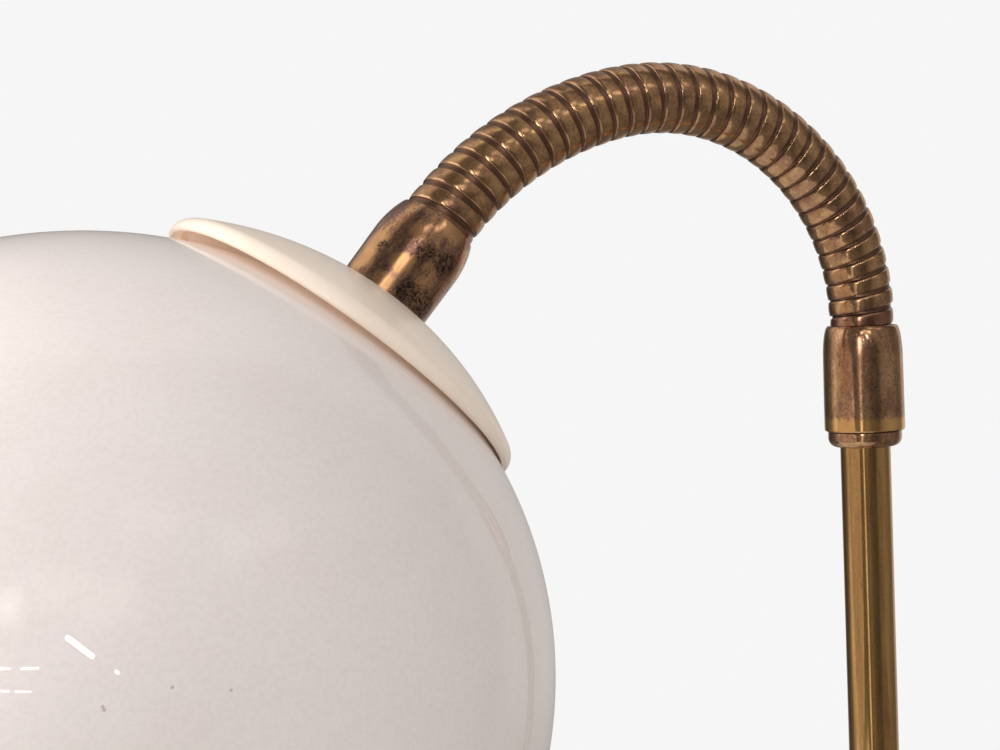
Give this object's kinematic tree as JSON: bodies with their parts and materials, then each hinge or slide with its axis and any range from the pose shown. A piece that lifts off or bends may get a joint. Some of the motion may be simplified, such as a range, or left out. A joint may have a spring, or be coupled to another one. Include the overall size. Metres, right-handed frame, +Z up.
{
  "type": "clip-on task lamp",
  "caption": "Clip-on task lamp: globe shade with a domed cap on a strip-wound gooseneck, straight stem, turned foot with switch, and a sprung clip for a table edge or shelf.",
  "frame": {"origin": "centre of the upper clip pad's gripping face, which rests on the table top", "axes": "+Z up along the stem; the clip's jaws open towards -X, its handles point to +X; the gooseneck leans over towards -X; the push button faces -Y"},
  "size_m": [0.3616, 0.18, 0.3831],
  "materials": {
    "clip_brass": "satin, worn at the bends",
    "brass": "polished, tarnished unevenly",
    "aged_brass": "brown patina with bright rubbed streaks",
    "neck_brass": "satin, patinated, dark in the grooves",
    "contact_brass": "bright",
    "steel": "zinc plated, dull",
    "cap_enamel": "satin cream enamel",
    "shade_lacquer": "high gloss white lacquer, slightly aged",
    "pad_rubber": "matt, ribbed",
    "sleeve_plastic": "soft matt, fine grain",
    "black_plastic": "moulded, semi gloss",
    "button_plastic": "moulded, yellowed",
    "holder_plastic": "moulded, semi gloss",
    "ceramic": "glazed ceramic",
    "fibre": "pressed red fibre",
    "bulb_metal": "rolled, dull",
    "bulb_glass": "opal white"
  },
  "bodies": {
    "clip_base": {"jaw_upper": "clip_brass", "pad_upper": "pad_rubber", "sleeve_upper": "sleeve_plastic", "pivot_pin": "steel", "clip_spring": "steel", "foot_housing": "brass", "housing_screws": "steel", "cord_bush": "black_plastic", "switch_body": "black_plastic", "friction_washer": "fibre"},
    "lower_jaw": {"jaw_lower": "clip_brass", "pad_lower": "pad_rubber", "sleeve_lower": "sleeve_plastic"},
    "switch_button": {"switch_button": "button_plastic"},
    "lock_screw": {"lock_screw": "brass"},
    "stem": {"stem_tube": "brass", "stem_collar": "steel", "ferrule_ring": "aged_brass", "lower_ferrule": "aged_brass", "neck_end_lower": "neck_brass"},
    "link_01": {"neck_link_01": "neck_brass"},
    "link_02": {"neck_link_02": "neck_brass"},
    "link_03": {"neck_link_03": "neck_brass"},
    "link_04": {"neck_link_04": "neck_brass"},
    "link_05": {"neck_link_05": "neck_brass"},
    "link_06": {"neck_link_06": "neck_brass"},
    "link_07": {"neck_link_07": "neck_brass"},
    "link_08": {"neck_link_08": "neck_brass"},
    "link_09": {"neck_link_09": "neck_brass"},
    "link_10": {"neck_link_10": "neck_brass"},
    "link_11": {"neck_link_11": "neck_brass"},
    "link_12": {"neck_link_12": "neck_brass"},
    "link_13": {"neck_link_13": "neck_brass"},
    "link_14": {"neck_link_14": "neck_brass"},
    "link_15": {"neck_link_15": "neck_brass"},
    "link_16": {"neck_link_16": "neck_brass"},
    "head": {"neck_end_upper": "neck_brass", "upper_ferrule": "aged_brass", "shade_cap": "cap_enamel", "cap_spacer": "brass", "shade_globe": "shade_lacquer", "shade_washer": "steel", "nipple": "steel", "nipple_nut": "steel", "holder_dome": "holder_plastic", "holder_skirt": "holder_plastic", "holder_insert": "ceramic", "holder_contact": "contact_brass", "screw_shell": "contact_brass", "bulb_base": "bulb_metal", "bulb_contact": "bulb_metal", "bulb_glass": "bulb_glass"}
  },
  "joints": [
    {"name": "clip_open", "type": "hinge", "parent": "clip_base", "child": "lower_jaw", "pos_m": [0.062, 0, -0.0025], "axis": [0, -1, 0], "range_deg": [0, 40], "stiffness_Nm_per_rad": 1.8, "springref_deg": -57.3, "deforming": ["clip_spring"]},
    {"name": "button_press", "type": "slide", "parent": "clip_base", "child": "switch_button", "axis": [0, 1, 0], "range_m": [0, 0.002], "stiffness_N_per_m": 400, "springref_m": -0.003},
    {"name": "lock_turn", "type": "hinge", "parent": "clip_base", "child": "lock_screw", "pos_m": [0.032, 0, 0.0396], "axis": [1, 0, 0], "range_deg": [0, 90]},
    {"name": "stem_swivel", "type": "hinge", "parent": "clip_base", "child": "stem", "pos_m": [0.032, 0, 0.0396], "axis": [0, 0, 1], "range_deg": [-165, 165]},
    {"name": "neck_bend_01", "type": "hinge", "parent": "stem", "child": "link_01", "pos_m": [0.03195, 0, 0.29229], "axis": [0, -1, 0], "range_deg": [-10.6, 0.9]},
    {"name": "neck_bend_02", "type": "hinge", "parent": "link_01", "child": "link_02", "pos_m": [0.03079, 0, 0.30139], "axis": [0, -1, 0], "range_deg": [-10.6, 0.9]},
    {"name": "neck_bend_03", "type": "hinge", "parent": "link_02", "child": "link_03", "pos_m": [0.02811, 0, 0.31016], "axis": [0, -1, 0], "range_deg": [-10.6, 0.9]},
    {"name": "neck_sway_04", "type": "hinge", "parent": "link_03", "child": "link_04", "pos_m": [0.024, 0, 0.31835], "axis": [0.8524, 0, 0.5229], "range_deg": [-4, 4]},
    {"name": "neck_bend_05", "type": "hinge", "parent": "link_04", "child": "link_05", "pos_m": [0.01856, 0, 0.32573], "axis": [0, -1, 0], "range_deg": [-10.6, 0.9]},
    {"name": "neck_bend_06", "type": "hinge", "parent": "link_05", "child": "link_06", "pos_m": [0.01196, 0, 0.3321], "axis": [0, -1, 0], "range_deg": [-10.6, 0.9]},
    {"name": "neck_bend_07", "type": "hinge", "parent": "link_06", "child": "link_07", "pos_m": [0.00437, 0, 0.33725], "axis": [0, -1, 0], "range_deg": [-10.6, 0.9]},
    {"name": "neck_sway_08", "type": "hinge", "parent": "link_07", "child": "link_08", "pos_m": [-0.00397, 0, 0.34106], "axis": [0.3367, 0, 0.9416], "range_deg": [-4, 4]},
    {"name": "neck_bend_09", "type": "hinge", "parent": "link_08", "child": "link_09", "pos_m": [-0.01283, 0, 0.3434], "axis": [0, -1, 0], "range_deg": [-10.6, 0.9]},
    {"name": "neck_bend_10", "type": "hinge", "parent": "link_09", "child": "link_10", "pos_m": [-0.02196, 0, 0.34422], "axis": [0, -1, 0], "range_deg": [-10.6, 0.9]},
    {"name": "neck_bend_11", "type": "hinge", "parent": "link_10", "child": "link_11", "pos_m": [-0.0311, 0, 0.3435], "axis": [0, -1, 0], "range_deg": [-9, 2.6]},
    {"name": "neck_sway_12", "type": "hinge", "parent": "link_11", "child": "link_12", "pos_m": [-0.04004, 0, 0.34142], "axis": [-0.2865, 0, 0.9581], "range_deg": [-4, 4]},
    {"name": "neck_bend_13", "type": "hinge", "parent": "link_12", "child": "link_13", "pos_m": [-0.04867, 0, 0.33831], "axis": [0, -1, 0], "range_deg": [-9, 2.6]},
    {"name": "neck_bend_14", "type": "hinge", "parent": "link_13", "child": "link_14", "pos_m": [-0.0569, 0, 0.33425], "axis": [0, -1, 0], "range_deg": [-9, 2.6]},
    {"name": "neck_bend_15", "type": "hinge", "parent": "link_14", "child": "link_15", "pos_m": [-0.06462, 0, 0.3293], "axis": [0, -1, 0], "range_deg": [-9, 2.6]},
    {"name": "neck_sway_16", "type": "hinge", "parent": "link_15", "child": "link_16", "pos_m": [-0.07175, 0, 0.32352], "axis": [-0.6724, 0, 0.7402], "range_deg": [-4, 4]},
    {"name": "neck_bend_17", "type": "hinge", "parent": "link_16", "child": "head", "pos_m": [-0.07819, 0, 0.31698], "axis": [0, -1, 0], "range_deg": [-9, 2.6]}
  ]
}
